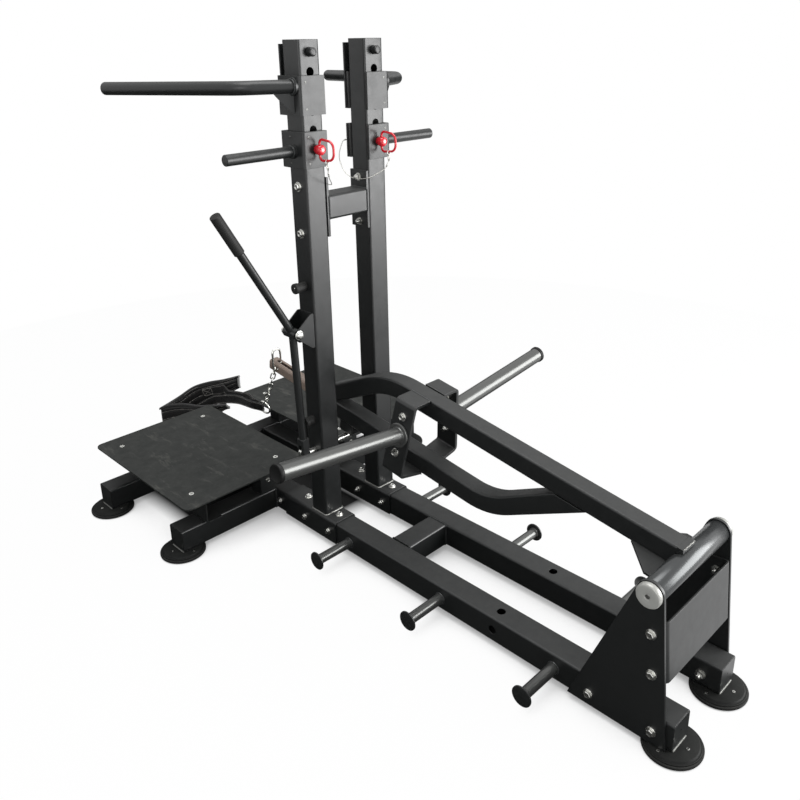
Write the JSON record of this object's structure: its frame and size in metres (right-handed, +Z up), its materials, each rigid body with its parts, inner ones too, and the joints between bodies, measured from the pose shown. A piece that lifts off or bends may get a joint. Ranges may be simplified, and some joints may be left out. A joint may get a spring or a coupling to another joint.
{
  "type": "belt squat machine",
  "caption": "Lever-arm belt squat machine with split foot plates, twin uprights with hand holds, weight horns, hand-released latch and a hip belt on a chain.",
  "frame": {"origin": "middle of the bounding box's underside, on the floor", "axes": "+Z up, +Y from the foot plates to the rear hinge, +X towards the hand lever's side"},
  "size_m": [1.296, 2.505, 1.6284],
  "materials": {
    "charcoal": "satin charcoal powder coat",
    "plate": "matt charcoal powder coat",
    "zinc": "bright zinc plated steel",
    "rubber": "matt black",
    "liner": "pale plastic lining",
    "red": "glossy red",
    "taupe": "satin taupe",
    "webbing": "woven webbing",
    "belt": "padded, matt black"
  },
  "bodies": {
    "frame": {"cross_tube": "charcoal", "front_leg": "charcoal", "upright_brace": "charcoal", "lever_bracket": "charcoal", "rear_tie": "charcoal", "rail_near": "charcoal", "side_leg_near": "charcoal", "saddle_near": "charcoal", "upright_near": "charcoal", "lower_handle_near": "charcoal", "rear_plate_near": "charcoal", "band_peg_near_1": "charcoal", "band_peg_near_2": "charcoal", "band_peg_near_3": "charcoal", "rail_far": "charcoal", "side_leg_far": "charcoal", "saddle_far": "charcoal", "upright_far": "charcoal", "lower_handle_far": "charcoal", "rear_plate_far": "charcoal", "band_peg_far_1": "charcoal", "band_peg_far_2": "charcoal", "band_peg_far_3": "charcoal", "foot_plate_near": "plate", "foot_plate_far": "plate", "hinge_shaft": "zinc", "pin_cord_near": "zinc", "pin_cord_far": "zinc", "lower_bumper": "rubber", "upper_bumper": "rubber", "foot_front_near": "rubber", "foot_side_near": "rubber", "foot_rear_near": "rubber", "foot_front_far": "rubber", "foot_side_far": "rubber", "foot_rear_far": "rubber", "lower_liner_near": "liner", "lower_liner_far": "liner"},
    "arm": {"arm_upper_tube": "charcoal", "arm_lower_tube": "charcoal", "arm_tongue": "taupe", "horn_bracket_near": "charcoal", "horn_bracket_far": "charcoal", "weight_horn_near": "charcoal", "weight_horn_far": "charcoal"},
    "lever": {"release_lever": "charcoal"},
    "latch": {"latch_pin": "zinc"},
    "hold_near": {"upper_handle_near": "charcoal", "upper_liner_near": "liner"},
    "hold_far": {"upper_handle_far": "charcoal", "upper_liner_far": "liner"},
    "pin_near": {"pull_pin_near": "red"},
    "pin_far": {"pull_pin_far": "red"},
    "finger_ring_near": {"pull_ring_near": "red"},
    "finger_ring_far": {"pull_ring_far": "red"},
    "hook": {"snap_hook": "zinc"},
    "chain": {"lift_chain": "zinc"},
    "ring": {"hip_ring": "zinc"},
    "belt": {"belt_strap": "webbing", "belt_pad": "belt"}
  },
  "joints": [
    {"name": "arm_lift", "type": "hinge", "parent": "frame", "child": "arm", "pos_m": [0, 1.1026, 0.4394], "axis": [-1, 0, 0], "range_deg": [0, 22]},
    {"name": "lever_turn", "type": "hinge", "parent": "frame", "child": "lever", "pos_m": [0.219, -0.1287, 0.777], "axis": [0, -1, 0], "range_deg": [0, 12]},
    {"name": "latch_slide", "type": "slide", "parent": "frame", "child": "latch", "axis": [1, 0, 0], "range_m": [0, 0.09]},
    {"name": "handle_swing_near", "type": "hinge", "parent": "frame", "child": "hold_near", "pos_m": [0.1224, -0.1287, 1.5955], "axis": [0, -1, 0], "range_deg": [0, 90]},
    {"name": "pull_slide_near", "type": "slide", "parent": "frame", "child": "pin_near", "axis": [0, 1, 0], "range_m": [0, 0.018], "deforming": ["pin_cord_near"]},
    {"name": "ring_turn_near", "type": "hinge", "parent": "pin_near", "child": "finger_ring_near", "pos_m": [0.1224, -0.0667, 1.329], "axis": [0, 0, 1], "range_deg": [-60, 60]},
    {"name": "handle_swing_far", "type": "hinge", "parent": "frame", "child": "hold_far", "pos_m": [-0.1224, -0.1287, 1.5955], "axis": [0, 1, 0], "range_deg": [0, 90]},
    {"name": "pull_slide_far", "type": "slide", "parent": "frame", "child": "pin_far", "axis": [0, 1, 0], "range_m": [0, 0.018], "deforming": ["pin_cord_far"]},
    {"name": "ring_turn_far", "type": "hinge", "parent": "pin_far", "child": "finger_ring_far", "pos_m": [-0.1224, -0.0667, 1.329], "axis": [0, 0, 1], "range_deg": [-60, 60]},
    {"name": "hook_swing", "type": "hinge", "parent": "arm", "child": "hook", "pos_m": [0.017, -0.5137, 0.48], "axis": [-1, 0, 0], "range_deg": [0, 15]},
    {"name": "chain_swing", "type": "hinge", "parent": "hook", "child": "chain", "pos_m": [0.02902, -0.5137, 0.48498], "axis": [-1, 0, 0], "range_deg": [0, 20]},
    {"name": "ring_swing", "type": "hinge", "parent": "chain", "child": "ring", "pos_m": [0.01037, -0.62019, 0.30618], "axis": [-1, 0, 0], "range_deg": [0, 10]},
    {"name": "belt_swing", "type": "hinge", "parent": "ring", "child": "belt", "pos_m": [0.008, -0.6337, 0.2835], "axis": [-0.968, -0.1579, 0.195], "range_deg": [0, 20]}
  ],
  "couplings": [
    {"joint": "latch_slide", "follows": "lever_turn", "m_per_rad": 0.42731}
  ]
}
